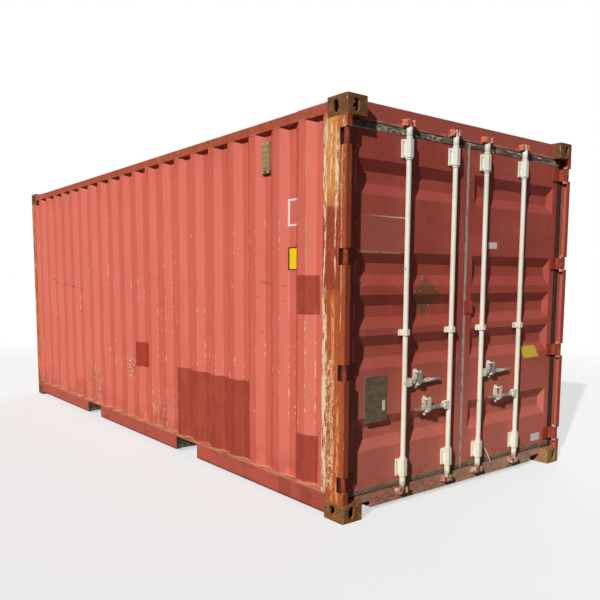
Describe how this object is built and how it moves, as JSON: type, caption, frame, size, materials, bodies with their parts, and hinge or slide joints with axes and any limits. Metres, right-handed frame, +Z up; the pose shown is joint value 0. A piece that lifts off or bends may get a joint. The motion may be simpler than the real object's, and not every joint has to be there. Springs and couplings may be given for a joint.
{
  "type": "shipping container",
  "caption": "Steel dry freight container with folded side walls, corner castings, double swing doors and cam locking gear.",
  "frame": {"origin": "ground level under the centre of the container, on the plane of the lower castings", "axes": "+X along the length towards the doors, +Y across, +Z up"},
  "size_m": [6.058, 2.438, 2.591],
  "materials": {
    "casting_steel": "rough, rusty",
    "frame_paint": "weathered red paint",
    "wall_paint": "weathered red paint",
    "door_paint": "weathered dark red paint",
    "gear_steel": "weathered pale zinc paint",
    "handle_steel": "dull galvanised steel",
    "rubber": "matt",
    "plywood": "worn plywood",
    "roof_paint": "weathered red paint",
    "underside_paint": "dull protective coating",
    "vent_plastic": "dirty olive plastic"
  },
  "bodies": {
    "container": {"corner_castings_rear": "casting_steel", "corner_castings_front": "casting_steel", "rear_post_left": "frame_paint", "rear_post_right": "frame_paint", "hinge_lugs_left": "frame_paint", "hinge_lugs_right": "frame_paint", "front_post_left": "frame_paint", "front_post_right": "frame_paint", "top_rail_left": "frame_paint", "top_rail_right": "frame_paint", "bottom_rail_left": "frame_paint", "bottom_rail_right": "frame_paint", "side_wall_left": "wall_paint", "side_wall_right": "wall_paint", "front_wall": "wall_paint", "front_top_rail": "frame_paint", "front_sill": "frame_paint", "roof_panel": "roof_paint", "roof_corner_plates": "roof_paint", "floor_boards": "plywood", "cross_members": "underside_paint", "fork_pockets": "underside_paint", "door_header": "door_paint", "door_sill": "door_paint", "cam_keepers": "frame_paint", "ventilators": "vent_plastic"},
    "door_left": {"door_frame_left": "door_paint", "door_panel_left": "door_paint", "door_gasket_left": "rubber", "hinge_blades_left": "frame_paint", "rod_brackets_left": "gear_steel", "handle_retainers_left": "handle_steel"},
    "door_right": {"door_frame_right": "door_paint", "door_panel_right": "door_paint", "door_gasket_right": "rubber", "hinge_blades_right": "frame_paint", "rod_brackets_right": "gear_steel", "handle_retainers_right": "handle_steel", "seal_plate": "door_paint"},
    "lock_rod_1_body": {"lock_rod_1": "gear_steel"},
    "handle_1_body": {"handle_1": "handle_steel"},
    "catch_1_body": {"catch_1": "handle_steel"},
    "lock_rod_2_body": {"lock_rod_2": "gear_steel"},
    "handle_2_body": {"handle_2": "handle_steel"},
    "catch_2_body": {"catch_2": "handle_steel"},
    "lock_rod_3_body": {"lock_rod_3": "gear_steel"},
    "handle_3_body": {"handle_3": "handle_steel"},
    "catch_3_body": {"catch_3": "handle_steel"},
    "lock_rod_4_body": {"lock_rod_4": "gear_steel"},
    "handle_4_body": {"handle_4": "handle_steel"},
    "catch_4_body": {"catch_4": "handle_steel"}
  },
  "joints": [
    {"name": "door_left_hinge", "type": "hinge", "parent": "container", "child": "door_left", "pos_m": [3.003, -1.195, 1.2925], "axis": [0, 0, -1], "range_deg": [0, 265]},
    {"name": "door_right_hinge", "type": "hinge", "parent": "container", "child": "door_right", "pos_m": [3.003, 1.195, 1.2925], "axis": [0, 0, 1], "range_deg": [0, 265]},
    {"name": "lock_rod_1_turn", "type": "hinge", "parent": "door_left", "child": "lock_rod_1_body", "pos_m": [2.984, -0.64, 0.83191], "axis": [0, 0, 1], "range_deg": [-110, 0]},
    {"name": "handle_1_lift", "type": "hinge", "parent": "lock_rod_1_body", "child": "handle_1_body", "pos_m": [2.984, -0.59, 0.83191], "axis": [-1, 0, 0], "range_deg": [-10, 0]},
    {"name": "catch_1_swing", "type": "hinge", "parent": "door_left", "child": "catch_1_body", "pos_m": [3.0065, -0.51, 0.89391], "axis": [-1, 0, 0], "range_deg": [-110, 0]},
    {"name": "lock_rod_2_turn", "type": "hinge", "parent": "door_left", "child": "lock_rod_2_body", "pos_m": [2.984, -0.175, 0.63503], "axis": [0, 0, -1], "range_deg": [-110, 0]},
    {"name": "handle_2_lift", "type": "hinge", "parent": "lock_rod_2_body", "child": "handle_2_body", "pos_m": [2.984, -0.225, 0.63503], "axis": [1, 0, 0], "range_deg": [-10, 0]},
    {"name": "catch_2_swing", "type": "hinge", "parent": "door_left", "child": "catch_2_body", "pos_m": [3.0065, -0.41, 0.69703], "axis": [1, 0, 0], "range_deg": [-110, 0]},
    {"name": "lock_rod_3_turn", "type": "hinge", "parent": "door_right", "child": "lock_rod_3_body", "pos_m": [2.984, 0.175, 0.83191], "axis": [0, 0, 1], "range_deg": [-110, 0]},
    {"name": "handle_3_lift", "type": "hinge", "parent": "lock_rod_3_body", "child": "handle_3_body", "pos_m": [2.984, 0.225, 0.83191], "axis": [-1, 0, 0], "range_deg": [-10, 0]},
    {"name": "catch_3_swing", "type": "hinge", "parent": "door_right", "child": "catch_3_body", "pos_m": [3.0065, 0.305, 0.89391], "axis": [-1, 0, 0], "range_deg": [-110, 0]},
    {"name": "lock_rod_4_turn", "type": "hinge", "parent": "door_right", "child": "lock_rod_4_body", "pos_m": [2.984, 0.64, 0.63503], "axis": [0, 0, -1], "range_deg": [-110, 0]},
    {"name": "handle_4_lift", "type": "hinge", "parent": "lock_rod_4_body", "child": "handle_4_body", "pos_m": [2.984, 0.59, 0.63503], "axis": [1, 0, 0], "range_deg": [-10, 0]},
    {"name": "catch_4_swing", "type": "hinge", "parent": "door_right", "child": "catch_4_body", "pos_m": [3.0065, 0.405, 0.69703], "axis": [1, 0, 0], "range_deg": [-110, 0]}
  ]
}
